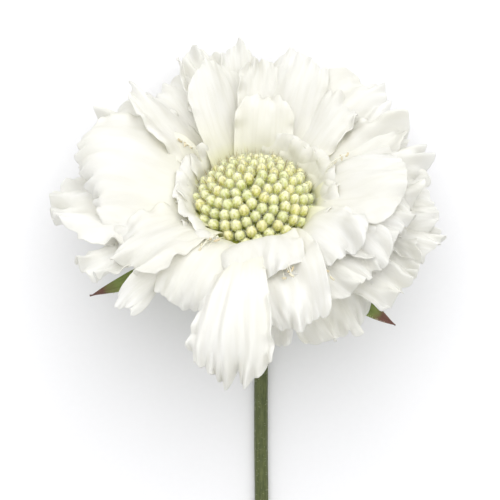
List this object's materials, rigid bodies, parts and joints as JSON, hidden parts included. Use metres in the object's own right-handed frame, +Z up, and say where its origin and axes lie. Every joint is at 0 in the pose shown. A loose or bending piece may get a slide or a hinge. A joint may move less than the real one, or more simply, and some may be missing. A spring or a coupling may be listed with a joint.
{
  "type": "scabiosa flower",
  "caption": "Cut scabious bloom laid on a surface: a slim stem, a leafy involucre, a dome of closed buds and a ring of waved white ray florets.",
  "frame": {"origin": "middle of the whole flower's footprint, on the surface that it lies on", "axes": "+Z up from the surface; +Y along the stem towards the head; the flower's face looks up and towards +Y, away from the stem"},
  "size_m": [0.0749, 0.1367, 0.049],
  "materials": {
    "petal": "matt, soft and slightly translucent white petal",
    "bud": "matt, downy yellow-green",
    "leaf": "satin green leaf, brown at the tips",
    "stem": "satin dark green, finely ribbed and hairy"
  },
  "bodies": {
    "root": {"stem": "stem", "involucre": "leaf", "bud_dome": "bud", "ray_floret_a": "petal", "ray_floret_b": "petal", "ray_floret_c": "petal", "ray_floret_d": "petal", "ray_floret_e": "petal", "ray_floret_f": "petal", "ray_floret_g": "petal", "ray_floret_h": "petal", "ray_floret_i": "petal", "ray_floret_j": "petal", "ray_floret_k": "petal", "ray_floret_l": "petal"}
  },
  "joints": []
}
